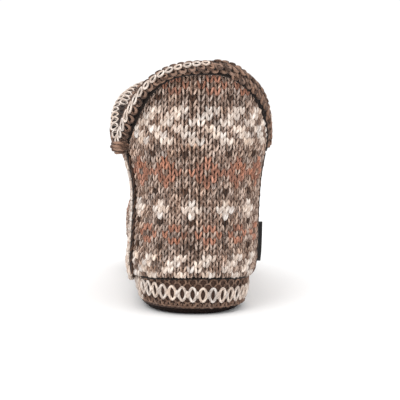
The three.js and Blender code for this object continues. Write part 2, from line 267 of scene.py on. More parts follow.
def slack(place, height):
    total = np.zeros(np.broadcast(place, height).shape)
    for middle, level, wide, tall, out in SLACK:
        away = np.mod(place - middle + 1, 2) - 1
        total = total + out * np.exp(-((away / wide) ** 2) - ((height - level) / tall) ** 2)
    return total


# How many places are read round the heel and round the front.
REAR_SPOTS = 160
FRONT_SPOTS = 320
SPOTS = REAR_SPOTS + FRONT_SPOTS


class Wall(Sheet):
    """The outside of the upper, read at any place round the foot and any height."""

    def __init__(self, low, high, step):
        self.low, self.step = low, step
        self.heights = np.arange(low, high + step, step)
        self.places = np.concatenate([np.arange(0, 1, 1 / REAR_SPOTS),
                                      np.arange(1, 2, 1 / FRONT_SPOTS)])
        self.points = np.stack([outline(wall_form(h), self.places, h) for h in self.heights], 1)
        self.points += self.facing() * slack(self.places[:, None], self.heights[None])[..., None]
        self.outs = self.facing()

    def facing(self):
        out = outward(self.points)
        for _ in range(2):
            out = unit(np.roll(out, 1, 0) + 2 * out + np.roll(out, -1, 0))
        return out

    def cell(self, place, height):
        place = np.mod(place, 2)
        spot = np.where(place <= 1, place * REAR_SPOTS, REAR_SPOTS + (place - 1) * FRONT_SPOTS)
        tall = np.clip((height - self.low) / self.step, 0, len(self.heights) - 1.001)
        i, j = np.floor(spot).astype(int), np.floor(tall).astype(int)
        return i % SPOTS, (i + 1) % SPOTS, j, spot - i, tall - j

    def up(self, place, height):
        return unit(self.at(place, height + 0.8) - self.at(place, height - 0.8))


wall = Wall(low=HEM - 4, high=236.0, step=1.0)


def dome(share, peak, crest, before, after):
    away = np.where(share < crest, 1 - share / crest, (share - crest) / (1 - crest))
    steep = np.where(share < crest, before, after)
    return peak - (peak - COLLAR_DIP) * np.clip(away, 0, 1) ** steep


def rim_height(place):
    place = np.where(place == 2, 2.0, np.mod(place, 2))
    rear = dome(place / INNER_SEAM, *REAR_DOME)
    fore = dome((place - INNER_SEAM) / (2 - INNER_SEAM), *FRONT_DOME)
    return np.where(place <= INNER_SEAM, rear, fore)


def cuff_reach(place):
    inward = (1 - np.cos(math.pi * place)) / 2
    full = CUFF_REACH_FULL * np.exp(-(((place - INNER_SEAM) / 0.12) ** 2))
    return CUFF_REACH_OUTER + (CUFF_REACH_INNER - CUFF_REACH_OUTER) * inward + full


def hem_rise(place):
    """The hem of the back panel sits a little higher at the middle of the heel."""
    return HEM_RISE * np.exp(-(((np.mod(place, 2) - 0.5) / 0.24) ** 2))


# Yarn as joined tubes.
class Skein:
    """Yarn and cloth gathered for one piece: corners, faces, yarn lengths and tints."""

    def __init__(self):
        self.points, self.tints, self.corners, self.starts, self.lengths = [], [], [], [], []
        self.count, self.loops = 0, 0

    def faces(self, corners, coords):
        self.corners.append((corners + self.count).ravel())
        wide = corners.shape[1]
        self.starts.append(self.loops + np.arange(len(corners)) * wide)
        self.loops += corners.size
        self.lengths.append(coords.reshape(-1, 2))

    def tubes(self, paths, outs, radii, tints, sides=6, flat=0.85, closed=False):
        n, p = paths.shape[:2]
        if closed:
            tangent = np.roll(paths, -1, 1) - np.roll(paths, 1, 1)
            steps = np.linalg.norm(np.roll(paths, -1, 1) - paths, axis=2)
        else:
            tangent = np.gradient(paths, axis=1)
            steps = np.linalg.norm(np.diff(paths, axis=1), axis=2)
        tangent = unit(tangent)
        across = unit(np.cross(tangent, outs))
        outward = np.cross(across, tangent)
        turn = np.arange(sides) * 2 * math.pi / sides - math.pi / 2
        radii = np.broadcast_to(radii, (n, p))[..., None, None]
        rings = paths[:, :, None] + radii * (
            np.cos(turn)[None, None, :, None] * across[:, :, None]
            + flat * np.sin(turn)[None, None, :, None] * outward[:, :, None]
        )
        run = np.concatenate([np.zeros((n, 1)), np.cumsum(steps, axis=1)], axis=1)
        run = run + chance.random((n, 1)) * 9
        last = p if closed else p - 1
        i, j = np.meshgrid(np.arange(last), np.arange(sides), indexing="ij")
        i, j = i.ravel(), j.ravel()
        k, m = (i + 1) % p, (j + 1) % sides
        quad = np.stack([i * sides + j, k * sides + j, k * sides + m, i * sides + m], 1)
        base = (np.arange(n) * p * sides)[:, None, None]
        around = np.stack([j, j, j + 1, j + 1], 1) / sides
        u = np.stack([run[:, i], run[:, i + 1], run[:, i + 1], run[:, i]], 2)
        coords = np.stack([u, np.broadcast_to(around, u.shape)], -1)
        self.faces((base + quad).reshape(-1, 4), coords)
        if not closed:
            for row, order in ((0, np.arange(sides)), (p - 1, np.arange(sides)[::-1])):
                cap = (base[:, :, 0] + row * sides + order[None]).reshape(n, sides)
                u = np.repeat(run[:, row:row + 1], sides, 1)
                self.faces(cap, np.stack([u, np.broadcast_to(order / sides, u.shape)], -1))
        self.points.append(rings.reshape(-1, 3))
        self.tints.append(np.repeat(tints, p * sides, axis=0))
        self.count += n * p * sides

    def grid(self, points, tint, closed_u=False, closed_v=False):
        """A sheet of quads over rows and columns of points, seen from cross(columns, rows)."""
        a, b = points.shape[:2]
        i, j = np.meshgrid(np.arange(a if closed_u else a - 1),
                           np.arange(b if closed_v else b - 1), indexing="ij")
        i, j = i.ravel(), j.ravel()
        k, m = (i + 1) % a, (j + 1) % b
        quad = np.stack([i * b + j, k * b + j, k * b + m, i * b + m], 1)
        wide = np.linalg.norm(np.diff(points, axis=0), axis=2).mean()
        tall = np.linalg.norm(np.diff(points, axis=1), axis=2).mean()
        coords = np.stack([np.stack([i, i + 1, i + 1, i], 1) * wide,
                           np.stack([j, j, j + 1, j + 1], 1) * tall], -1)
        self.faces(quad, coords)
        self.points.append(points.reshape(-1, 3))
        self.tints.append(np.broadcast_to(tint, (a, b, 6)).reshape(-1, 6))
        self.count += a * b

    def ends(self, rows, wide):
        """Closes both ends of a rolled sheet, the first of its skein, with one face each."""
        order = np.arange(wide)
        for corners in (order, order[::-1] + (rows - 1) * wide):
            self.faces(corners[None] - self.count, np.zeros((1, wide, 2)))

    def piece(self, name, finish):
        mesh = bpy.data.meshes.new(name)
        points = np.concatenate(self.points) * MM
        for parts, field, values in (
            (mesh.vertices, "co", points),
            (mesh.loops, "vertex_index", np.concatenate(self.corners).astype(np.int32)),
            (mesh.polygons, "loop_start", np.concatenate(self.starts).astype(np.int32)),
        ):
            parts.add(len(values))
            parts.foreach_set(field, values.ravel())
        mesh.update(calc_edges=True)
        mesh.validate()
        mesh.polygons.foreach_set("use_smooth", np.ones(len(mesh.polygons), bool))
        uv = mesh.uv_layers.new(name="yarn")
        uv.data.foreach_set("uv", np.concatenate(self.lengths).ravel())
        tints = np.concatenate(self.tints)
        for title, colours in (("tint", tints[:, :3]), ("shade", tints[:, 3:])):
            attribute = mesh.color_attributes.new(title, "FLOAT_COLOR", "POINT")
            rgba = np.ones((len(points), 4))
            rgba[:, :3] = colours
            attribute.data.foreach_set("color", rgba.ravel())
        piece = bpy.data.objects.new(name, mesh)
        bpy.context.collection.objects.link(piece)
        mesh.materials.append(finish)
        return piece


# Shader work.
def overload(operation, swap=False):
    def apply(self, other):
        return self._sum(operation, *((other, self) if swap else (self, other)))

    return apply


class Wire:
    """One output of a node that takes part in sums."""

    def __init__(self, finish, socket):
        self.finish, self.socket = finish, socket

    def _sum(self, operation, *values):
        return self.finish.node("ShaderNodeMath", {"operation": operation},
                                dict(enumerate(values)))

    __add__, __radd__ = overload("ADD"), overload("ADD", True)
    __sub__, __rsub__ = overload("SUBTRACT"), overload("SUBTRACT", True)
    __mul__, __rmul__ = overload("MULTIPLY"), overload("MULTIPLY", True)

    def sine(self):
        return self._sum("SINE", self)

    def between(self, low, high):
        """0 below the first value, 1 above the second."""
        return self.finish.node("ShaderNodeMapRange", {"clamp": True},
                                {0: self, 1: low, 2: high, 3: 0.0, 4: 1.0})


class Finish:
    """A material that is being put together."""

    def __init__(self, name, roughness=0.9, sheen=0.0):
        self.material = bpy.data.materials.new(name)
        self.material.use_nodes = True
        self.tree = self.material.node_tree
        self.tree.nodes.clear()
        self.shader = self.tree.nodes.new("ShaderNodeBsdfPrincipled")
        self.shader.inputs["Roughness"].default_value = roughness
        self.shader.inputs["Specular IOR Level"].default_value = 0.25
        self.shader.inputs["Sheen Weight"].default_value = sheen
        self.shader.inputs["Sheen Roughness"].default_value = 0.5
        end = self.tree.nodes.new("ShaderNodeOutputMaterial")
        self.tree.links.new(self.shader.outputs[0], end.inputs[0])

    def node(self, kind, settings, values, out=0):
        node = self.tree.nodes.new(kind)
        for name, setting in settings.items():
            setattr(node, name, setting)
        for name, value in values.items():
            self.feed(node.inputs[name], value)
        return Wire(self, node.outputs[out])

    def feed(self, socket, value):
        if isinstance(value, Wire):
            self.tree.links.new(value.socket, socket)
        elif hasattr(value, "__len__") and len(value) == 3 and socket.type == "RGBA":
            socket.default_value = (*value, 1)
        else:
            socket.default_value = value

    def base(self, colour):
        self.feed(self.shader.inputs["Base Color"], colour)

    def rough(self, value):
        self.feed(self.shader.inputs["Roughness"], value)

    def bump(self, height, distance):
        self.feed(self.shader.inputs["Normal"], self.node(
            "ShaderNodeBump", {}, {"Strength": 1.0, "Distance": distance, "Height": height}))

    def place(self):
        return self.node("ShaderNodeTexCoord", {}, {}, "Object")

    def axes(self, vector, *numbers):
        return [self.node("ShaderNodeSeparateXYZ", {}, {0: vector}, i) for i in numbers]

    def noise(self, scale, detail=3.0):
        return self.node("ShaderNodeTexNoise", {},
                         {"Vector": self.place(), "Scale": scale, "Detail": detail})

    def blend(self, share, first, second, how="MIX"):
        """Two colours laid over each other by a share."""
        return self.node("ShaderNodeMix", {"data_type": "RGBA", "blend_type": how},
                         {0: share, 6: first, 7: second}, 2)


def yarn_finish(name):
    """Twisted wool: a light and a dark ply that wind round each other, painted shade in the grooves
    between them, flecks and fine fibres.
    """
    finish = Finish(name, 0.92, 0.1)
    tint, shade = (finish.node("ShaderNodeAttribute", {"attribute_name": title}, {}, "Color")
                   for title in ("tint", "shade"))
    length, around = finish.axes(finish.node("ShaderNodeUVMap", {"uv_map": "yarn"}, {}), 0, 1)
    wave = (length * (2 * math.pi / PLY_PITCH) + around * (2 * math.pi)).sine()
    groove = (wave * wave).between(0.0, 0.35)
    fleck, fibre = finish.noise(1700.0, 2.0), finish.noise(5200.0)
    share = wave.between(-0.3, 0.3) * 0.7 + fleck.between(0.36, 0.64) * 0.5 - 0.1
    colour = finish.blend(share.between(0.0, 1.0), shade, tint)
    # Painted shade: the colour is multiplied darker in the grooves between the plies.
    finish.base(finish.blend((1 - groove) * 0.45, colour, (0.35, 0.28, 0.25), "MULTIPLY"))
    finish.rough(0.8 + fibre * 0.18)
    finish.bump(groove * 0.5 + fleck * 0.3 + fibre * 0.25, 0.00035)
    return finish.material


def cloth_finish(name, dark, light, scale, depth, roughness=0.95):
    """A plain soft surface of short fibres."""
    finish = Finish(name, roughness, 0.2)
    coarse, fine = finish.noise(scale), finish.noise(scale * 6)
    finish.base(finish.blend(coarse.between(0.35, 0.65) * 0.7 + fine * 0.3, dark, light))
    finish.rough(0.85 + fine * 0.14)
    finish.bump(coarse * 0.7 + fine * 0.5, depth)
    return finish.material


def linear(red, green, blue):
    return tuple((c / 12.92 if c <= 0.04045 else ((c + 0.055) / 1.055) ** 2.4)
                 for c in (red / 255, green / 255, blue / 255))


# Yarns: the light ply, the dark ply and how uneven it is from stitch to stitch.
PLY_PITCH = 8.5
YARNS = {
    "marl": (linear(193, 170, 155), linear(102, 76, 62), 0.15),
    "white": (linear(228, 215, 204), linear(190, 172, 159), 0.05),
    "peach": (linear(191, 137, 114), linear(133, 91, 73), 0.13),
    "dark": (linear(88, 64, 50), linear(52, 34, 24), 0.08),
    # The deep brown is partly dark yarn and partly painted shade of the recess between the collar
    # rolls.
    "recess brown and shade": (linear(64, 46, 36), linear(40, 27, 19), 0.1),
    "brown": (linear(144, 115, 98), linear(60, 42, 33), 0.12),
    "arc": (linear(136, 110, 94), linear(102, 77, 63), 0.10),
    # The ground is a near-black base yarn; darkened further it also makes cords that paint shadow
    # lines under the collar roll and under the hem.
    "ground": (linear(42, 28, 21), linear(28, 18, 13), 0.05),
    "band ground": (linear(96, 70, 57), linear(68, 47, 37), 0.05),
}


def plies(name):
    light, dark, _ = YARNS[name]
    return np.array([*light, *dark])


def dyed(names):
    """The two plies of each stitch, a little uneven from stitch to stitch."""
    tints = np.array([plies(name) for name in names])
    spread = np.array([YARNS[name][2] for name in names])
    light = 1 + chance.normal(0, 1, len(names)) * spread
    warm = chance.normal(0, 0.03, (len(names), 1)) * np.array([[1, 0, -1, 1, 0, -1]])
    return np.clip(tints * light[:, None] * (1 + warm), 0.004, 0.95)


# The chart of the knit: yarn, first row, columns of the motif's middles from the middle of
# the heel, and for each row upward the columns off that middle.
CHART = (
    ("white", 0, (-12, -8, -3, 1, 6, 10), ((-0.5, 0.5), (-2.5, -1.5), (-1.5, -0.5), (-0.5, 0.5))),
    ("dark", 5, (-11.5, -6.5, -1.5, 3.5, 8.5), ((0,),)),
    ("peach", 6, (-9, -4, 1, 6, 11), ((-0.5, 0.5), (-1.5, 1.5), (-0.5, 0.5))),
    ("dark", 9, (-11.5, -6.5, -1.5, 3.5, 8.5), ((0,),)),
    ("white", 10, (-11.5, -6.5, -1.5, 3.5, 8.5), ((0,), (-1, 0, 1), (0,))),
    ("dark", 14, (-7.5, -2.5, 3.5, 8.5), ((0,),)),
    ("peach", 15, (-10.5, -5.5, 0.5, 5.5, 10.5),
     ((0,), (-1, 0, 1), (-2, -1, 1, 2), (-1, 0, 1), (0,))),
    ("dark", 20, (-7.5, -2.5, 3.5, 8.5), ((0,),)),
    ("white", 22, (-11, -7, -3, 1, 5, 9, 13),
     ((1.5, 2.5), (0.5, 1.5), (-0.5, 0.5), (-2.5, -1.5), (-1.5, -0.5), (-0.5, 0.5))),
    ("dark", 29, (-6.5, -1.5, 3.5, 8.5), ((0,),)),
    ("peach", 30, (-9, -4, 1, 6), ((-0.5, 0.5), (-1.5, 1.5), (-0.5, 0.5))),
)
chart = {(first + up, middle + off): yarn for yarn, first, middles, rows in CHART
         for up, offs in enumerate(rows) for middle in middles for off in offs}
CHART_ROWS = 33
BACK_COLUMNS = 32
COLUMN_SHIFT = 0.5
ROW_HEIGHT = 3.53
# The lowest row's height over the hem, and how far under the rim the stitches end.
FIRST_ROW = 1.8
RIM_MARGIN = 2.2
# How much thicker the white yarn is than the rest.
WHITE_FULLNESS = 1.42
wool = yarn_finish("panel wool")


# One leg of a stitch: across, up and out of the cloth, in columns, rows and millimetres.
def leg(rings):
    t = np.linspace(0, 1, rings)
    u = 0.13 + 0.23 * ease(t * 1.05)
    v = -0.76 + 1.52 * t
    w = -0.55 + 1.5 * np.sin(math.pi * np.clip(t * 0.95 + 0.05, 0, 1)) ** 0.7
    r = 0.32 + 0.40 * np.sin(math.pi * t) ** 0.6
    return u, v, w, r


def stitch_tubes(skein, surface, rows, columns, names, rings, sides, scale=1.0):
    """Lays both legs of every stitch on a surface that is read in rows and columns."""
    u, v, w, r = leg(rings)
    n = len(rows)
    tints = dyed(names)
    full = np.array([WHITE_FULLNESS if name == "white" else 1.0 for name in names])[:, None]
    for hand in (1, -1):
        nudge = chance.normal(0, 0.035, (n, 1))
        lift = chance.normal(0, 0.14, (n, 1))
        points, outs = surface(rows[:, None] + v[None] + nudge,
                               columns[:, None] + hand * (u[None] + nudge))
        paths = points + outs * (w[None] + lift)[..., None]
        radii = r[None] * scale * (1 + chance.normal(0, 0.09, (n, 1))) * full
        skein.tubes(paths, outs, radii, tints * (1 + chance.normal(0, 0.07, (n, 1))), sides)


def back_place(column):
    return 0.5 - (column + COLUMN_SHIFT) / BACK_COLUMNS


def back_surface(rows, columns):
    place = back_place(columns)
    rise = hem_rise(place)
    height = HEM + FIRST_ROW + ROW_HEIGHT * rows + rise * np.clip(1 - rows / 6, 0, 1)
    low = HEM + 0.5 + rise
    points, outs = wall.read(place, np.maximum(height, low))
    return points - outs * np.maximum(low - height, 0)[..., None], outs


def back_panel():
    skein = Skein()
    rows, columns, names = [], [], []
    for row in range(CHART_ROWS + 1):
        level = HEM + FIRST_ROW + ROW_HEIGHT * row
        for column in np.arange(BACK_COLUMNS) - (BACK_COLUMNS - 1) / 2:
            place = back_place(column)
            if place <= INNER_SEAM and level <= rim_height(place) - RIM_MARGIN:
                rows.append(row)
                columns.append(column)
                names.append(chart.get((row, column), "marl"))
    stitch_tubes(skein, back_surface, np.array(rows, float), np.array(columns), names, 7, 6)
    return skein.piece("back_panel", wool)


# The front panel: its rows ring the toe and run back over the instep to the collar. Its stitches
# are this tall and wide, it reaches this far from the toe, and this many columns to each side.
STITCH_TALL = 3.6
STITCH_WIDE = 4.0
FRONT_REACH = 235
FRONT_SPAN = 60
# Its chart starts at this row and repeats after this many columns. A seam splits it in two.
CHART_START = 5
FRONT_REPEAT = 30
FRONT_SPLIT = 27
# The pale corner beside the inner seam: its height over the hem, and the place where it ends.
PALE_TALL = 13.0
PALE_END = 1.08


class Front(Sheet):
    """The front panel in rows and columns, with two entries to a stitch each way."""

    def __init__(self):
        self.start = wall.at(1.5, HEM + 2) + np.array([0, 3, -4])
        fine = np.linspace(0.83, 2.07, 415)
        tall = np.arange(HEM - 3.9, FRONT_REACH, 1.0)
        field = self.field(wall.at(*np.meshgrid(fine, tall, indexing="ij")))
        self.count = int(FRONT_REACH / STITCH_TALL * 2)
        shape = (self.count, 4 * FRONT_SPAN + 1)
        self.place, self.height = np.full(shape, np.nan), np.full(shape, np.nan)
        for k in range(self.count):
            self.trace(k, fine, tall, field - (2.0 + k * STITCH_TALL / 2))
        self.holes = np.isnan(self.place)
        self.points, self.outs = wall.read(np.where(self.holes, 1.5, self.place),
                                           np.where(self.holes, HEM, self.height))

    def field(self, points):
        away = points - self.start
        away[..., 0] = np.maximum(np.abs(away[..., 0]) - 20, 0)
        return np.linalg.norm(away, axis=-1)

    def trace(self, k, fine, tall, over):
        """Finds the line of one row and lays its columns out from the middle of the instep."""
        i, j = np.nonzero(over[:, :-1] * over[:, 1:] < 0)
        t = over[i, j] / (over[i, j] - over[i, j + 1])
        spots = np.stack([fine[i], tall[j] + t * (tall[1] - tall[0])], 1)
        i, j = np.nonzero(over[:-1] * over[1:] < 0)
        t = over[i, j] / (over[i, j] - over[i + 1, j])
        spots = np.concatenate([spots, np.stack([fine[i] + t * (fine[1] - fine[0]), tall[j]], 1)])
        if len(spots) < 8:
            return
        away = spots[:, 0] - 1.5
        key = np.sign(away) * (400 * np.abs(away) + 300 - spots[:, 1])
        spots = spots[np.argsort(key)]
        sums = run_along(wall.at(spots[:, 0], spots[:, 1]))
        middle = np.interp(0, np.sort(key), sums)
        columns = np.arange(-2 * FRONT_SPAN, 2 * FRONT_SPAN + 1) / 2 * STITCH_WIDE + middle
        inside = (columns >= 0) & (columns <= sums[-1])
        self.place[k, inside] = np.interp(columns[inside], sums, spots[:, 0])
        self.height[k, inside] = np.interp(columns[inside], sums, spots[:, 1])

    def cell(self, rows, columns):
        a = np.clip(rows * 2, 0, self.count - 1.001)
        b = np.clip(columns * 2 + 2 * FRONT_SPAN, 0, 4 * FRONT_SPAN - 0.001)
        i, j = np.floor(a).astype(int), np.floor(b).astype(int)
        return i, i + 1, j, a - i, b - j

    def bad(self, rows, columns):
        """Whether a spot lies past the edge of the panel."""
        i, k, j, _, _ = self.cell(rows, columns)
        return self.holes[i, j] | self.holes[k, j] | self.holes[i, j + 1] | self.holes[k, j + 1]


front = Front()


# Where the front panel hangs slack over the side band on the inner side: middle, reach, out, down.
HEM_SLACK = (-88.0, 13.0, 0.6, 4.5)


def front_surface(rows, columns):
    points, outs = front.read(rows, columns)
    short = np.maximum(HEM + 0.3 - points[..., 2], 0)
    points = points - outs * short[..., None]
    points[..., 2] += short
    low = np.clip((HEM + 11 - points[..., 2]) / 11, 0, 1) * (points[..., 0] < 0)
    middle, reach, out, down = HEM_SLACK
    share = low * np.exp(-(((points[..., 1] - middle) / reach) ** 2))
    points = points + outs * (out * share)[..., None]
    points[..., 2] -= down * share
    return points, outs


def front_yarn(row, column):
    if row < CHART_START:
        return "marl"
    half = FRONT_REPEAT / 2
    return chart.get((int(row - CHART_START) % (CHART_ROWS + 3),
                      (column + 0.5 + half) % FRONT_REPEAT - half), "marl")


def front_panels():
    rows, columns = (side.ravel().astype(float) for side in np.meshgrid(
        np.arange(1, front.count // 2 - 2), np.arange(1 - FRONT_SPAN, FRONT_SPAN), indexing="ij"))
    bad = front.bad(rows, columns)
    for up, side in ((-0.6, 0), (0.62, 0), (0, -0.45), (0, 0.45)):
        bad |= front.bad(rows + up, columns + side)
    at = (rows * 2).astype(int), (columns * 2).astype(int) + 2 * FRONT_SPAN
    place, height = front.place[at], front.height[at]
    keep = ~bad & (place > INNER_SEAM + 0.012) & (place < 1.997) & (height > HEM - 1.2)
    keep &= height < rim_height(np.nan_to_num(place, nan=1.5)) - RIM_MARGIN
    rows, columns, place, height = (values[keep] for values in (rows, columns, place, height))
    made = []
    for name, part in (("front_panel_toe", rows < FRONT_SPLIT),
                       ("front_panel_shaft", rows >= FRONT_SPLIT)):
        pale = (height[part] < HEM + PALE_TALL) & (place[part] < PALE_END)
        names = ["white" if p else front_yarn(r, c)
                 for p, r, c in zip(pale, rows[part], columns[part])]
        skein = Skein()
        stitch_tubes(skein, front_surface, rows[part], columns[part], names, 5, 5, 1.04)
        made.append(skein.piece(name, wool))
    return made


def wall_sheet(rise, over):
    """The wall from just over the hem to the rim: places, points and outward directions."""
    places = np.concatenate([np.arange(0, 1, 1 / 64), np.arange(1, 2, 1 / 110)])
    low = (HEM + 0.8 + rise * hem_rise(places))[:, None]
    heights = low + (rim_height(places)[:, None] + over - low) * np.linspace(0, 1, 56)
    return places, *wall.read(np.broadcast_to(places[:, None], heights.shape), heights)


def closed_cloth(name, outer, inner, finish):
    skein = Skein()
    skein.grid(np.concatenate([outer, inner[:, ::-1]], 1), plies("marl"), True, True)
    return skein.piece(name, finish)


def backing():
    """The dense inner face of the knit, one closed wall."""
    _, points, outs = wall_sheet(1, 0.5)
    # Its dark brown is partly the knit's own inner face and partly painted shade that shows in the
    # gaps between the stitches.
    finish = cloth_finish("backing", linear(58, 42, 34), linear(104, 84, 72), 700.0, 0.0006)
    return closed_cloth("knit_backing", points - outs * 0.55, points - outs * UPPER_WALL, finish)


def band_inside(height):
    """The inset of the side band's inner face, by the height over its base."""
    return band_inset_at(height / BAND_HEIGHT) + BAND_WALL


def lining():
    """The fleece inside the upper and the side band, down to the footbed."""
    places, points, outs = wall_sheet(0, -0.8)
    heights = np.linspace(BAND_BASE + FOOTBED_THICKNESS - 1.5, BAND_BASE + BAND_HEIGHT, 6)
    faces = []
    for more, depth in ((0.1, UPPER_WALL - 0.3), (1.5, UPPER_WALL + 0.7)):
        low = [outline(lower_form(band_inside(h - BAND_BASE) + more), places, h) for h in heights]
        faces.append(np.concatenate([np.stack(low, 1), points - outs * depth], 1))
    return closed_cloth("lining", *faces, cloth_finish(
        "lining fleece", linear(138, 122, 109), linear(196, 181, 167), 900.0, 0.0012))


# Rings and loops of the collar band and of the side band.
def ring(count, wide, tall, power=2.0):
    turn = np.arange(count) * 2 * math.pi / count
    c, s = np.cos(turn), np.sin(turn)
    return (wide / 2 * np.sign(c) * np.abs(c) ** (2 / power),
            tall / 2 * np.sign(s) * np.abs(s) ** (2 / power))


# Entries of a fold along the rim and round its section, and the one its length is taken on.
FOLD_STEPS = 160
FOLD_SHARES = 60
FOLD_LINE = 24


class Cuff(Sheet):
    """One half of the folded collar band, read by length along the rim and share of the fold."""

    def __init__(self, first, last):
        places = np.linspace(first, last, FOLD_STEPS + 1)
        a, b = np.maximum(places - 0.004, first), np.minimum(places + 0.004, last)
        height = rim_height(places)
        run = np.linalg.norm((wall.at(b, height) - wall.at(a, height))[:, :2], axis=1)
        steep = np.hypot(1, (rim_height(b) - rim_height(a)) / run)
        stretch = 1 + (steep - 1) * ease(0.2 + np.abs(places - INNER_SEAM) / 0.08)
        corners = self.smooth(CUFF_CORNERS)
        lift = corners[:, 1] * np.where(corners[:, 1] < 0, CUFF_DROP, CUFF_RISE)
        reach = cuff_reach(places)[:, None] * corners[:, 0]
        base, outs, ups = (*wall.read(places, height), wall.up(places, height))
        self.points = (base[:, None] + outs[:, None] * reach[..., None]
                       + ups[:, None] * (lift[None] * stretch[:, None])[..., None])
        self.sums, self.places = run_along(self.points[:, FOLD_LINE]), places
        around, along = (unit(np.gradient(self.points, axis=axis)) for axis in (1, 0))
        self.outs = unit(np.cross(around, along))

    def smooth(self, corners):
        sums = run_along(corners)
        line = at_lengths(np.linspace(0, sums[-1], FOLD_SHARES + 1), sums, corners)
        for _ in range(14):
            line[1:-1] = (line[:-2] + 2 * line[1:-1] + line[2:]) / 4
        return line

    def cell(self, run, share):
        a = np.interp(run, self.sums, np.arange(FOLD_STEPS + 1))
        b = np.clip(share, 0, 1) * FOLD_SHARES
        i = np.clip(np.floor(a).astype(int), 0, FOLD_STEPS - 1)
        j = np.clip(np.floor(b).astype(int), 0, FOLD_SHARES - 1)
        return i, i + 1, j, a - i, b - j


# Rows over the fold from the outer edge inward. Those of the back half creep from the far side
# on the outer seam to the near side on the inner one. One of them is white on the inner part.
ROW_SHARE = 0.14
BACK_ROWS = range(-5, 5)
FRONT_ROWS = range(7)
# Loops show between these shares of the fold, on the outer part of the heel from a higher one.
# Below them the near-black body of the fold is left bare as painted shadow under the roll.
SHOWN = (0.115, 0.94)
SHOWN_OUTER = 0.18
OUTER_PART = 0.6
# How far before the end of a half the last loop stands.
LOOP_MARGIN = 2.2


def back_row(place, k):
    away = np.clip(1 - place / INNER_SEAM, 0, 1)
    level = 0.27 + 0.62 * away - 0.09 * away ** 3 + k * ROW_SHARE
    return level, (k == 0) & (place > 0.46)


def front_row(place, k):
    return 0.13 + k * ROW_SHARE + 0 * place, (k == 3) | ((k == 4) & (place > 1.09) & (place < 1.4))


def row_yarn(white, place, k):
    if white:
        return "white"
    # Rows toward the inner seam that face the recess between the rolls take deep brown on the front
    # half and dark brown on the back half: partly dark yarn, partly painted shade of the recess.
    if place > INNER_SEAM:
        return "recess brown and shade" if k > 3 and place < 1.15 else "brown"
    return "dark" if k > 1 and place > 0.68 else "brown"


def cuff(name, first, last, row, numbers, loop, pale_thick):
    fold = Cuff(first, last)
    skein = Skein()
    body = fold.points - fold.outs * 1.3
    gap = body[:, :1] - body[:, -1:]
    section = np.concatenate([body, body[:, -1:] + gap / 3, body[:, -1:] + gap * 2 / 3], 1)
    shares = np.linspace(0, 1, body.shape[1])
    # The body of the fold is near-black ground yarn: it shows dark through the loops, and at the
    # foot of the fold, where no loops are laid, it is painted shadow under the roll.
    tints = np.broadcast_to(plies("ground"), (*section.shape[:2], 6)).copy()
    for k in numbers:
        level, pale = row(fold.places, k)
        near = pale[:, None] & (np.abs(shares[None] - level[:, None]) < 0.075)
        tints[:, :len(shares)][near] = plies("white") * 0.8
    skein.grid(section, tints, False, True)
    skein.ends(*section.shape[:2])
    total = fold.sums[-1]
    count = int(round(total / loop))
    pitch = total / count
    for k in numbers:
        at = (np.arange(count) + (0.5 if k % 2 else 0.98)) * pitch
        at = at[at < total - LOOP_MARGIN]
        spots = np.interp(at, fold.sums, fold.places)
        level, pale = row(spots, k)
        seen = level > np.where(spots < OUTER_PART, SHOWN_OUTER, SHOWN[0])
        seen &= level < SHOWN[1]
        for white in (False, True):
            chosen = seen & (pale == white)
            if not chosen.any():
                continue
            thick = pale_thick if white else 0.8
            across, tall = ring(14, pitch - 2 * thick - (0.0 if white else 0.15), 1.0)
            run = at[chosen, None] + across[None] + tall[None] * (0.1 if white else 0.5)
            rise = level[chosen, None] + tall[None] * (0.15 if white else 0.13)
            paths, outs = fold.read(np.clip(run, 0.3, total - 0.3), rise)
            swell = np.where(tall > 0, -0.9, 0.5) * np.abs(tall) * 1.1
            place = spots[chosen]
            low = (k % 2 == 0) | ((k > 0) & (place > 0.44) & (place <= INNER_SEAM))
            sunk = np.full(place.shape, 0.4) if white else np.where(low, 1.4, 0.7)
            paths = paths + outs * (swell[None] - sunk[:, None])[..., None]
            radii = thick * (1 - (0 if white else 0.7) * tall)
            names = [row_yarn(white, spot, k) for spot in place]
            skein.tubes(paths, outs, radii, dyed(names), 7, 0.9, True)
            if white:
                line = np.linspace(-1, 1, 5)[None]
                paths, outs = fold.read(at[chosen, None] + line * 0.4,
                                        level[chosen, None] + line * 0.034)
                radii = np.array([[0.7, 1.3, 1.45, 1.3, 0.7]])
                skein.tubes(paths - outs * 1.15, outs, radii, dyed(["ground"] * len(paths)), 6, 0.6)
    # Painted shadow: a near-black cord, darker than the ground yarn, along the foot of the fold
    # under the roll.
    run = np.linspace(0.5, total - 0.5, 120)[None]
    paths, outs = fold.read(run, np.full(run.shape, 0.05))
    skein.tubes(paths - outs * 0.4, outs, 1.35, dyed(["ground"]) * 0.6, 7, 0.9)
    return skein.piece(name, wool)


class Band(Sheet):
    """The outside of the side band, with a thin skirt that hangs over the edge of the sole."""

    def __init__(self):
        self.places = wall.places
        self.low = BAND_BASE - SKIRT
        self.heights = np.linspace(self.low, BAND_BASE + BAND_HEIGHT + HEM_RISE, 20)
        self.points = np.stack([outline(lower_form(self.inset(h)), self.places, h)
                                for h in self.heights], 1)
        self.outs = outward(self.points)
        middle = self.points[:, 10]
        self.sums = run_along(np.concatenate([middle, middle[:1]]))

    def inset(self, height):
        return band_inset_at((height - BAND_BASE) / BAND_HEIGHT) + 0.15 * max(0, BAND_BASE - height)

    def spot(self, run):
        return np.interp(np.mod(run, self.sums[-1]), self.sums, np.arange(SPOTS + 1))

    def cell(self, run, height):
        a, step = self.spot(run), self.heights[1] - self.low
        b = np.clip((height - self.low) / step, 0, len(self.heights) - 1.001)
        i, j = np.floor(a).astype(int), np.floor(b).astype(int)
        return i % SPOTS, (i + 1) % SPOTS, j, a - i, b - j

    def place(self, run):
        spot = self.spot(run)
        return np.where(spot <= REAR_SPOTS, spot / REAR_SPOTS,
                        1 + (spot - REAR_SPOTS) / FRONT_SPOTS)


band = Band()

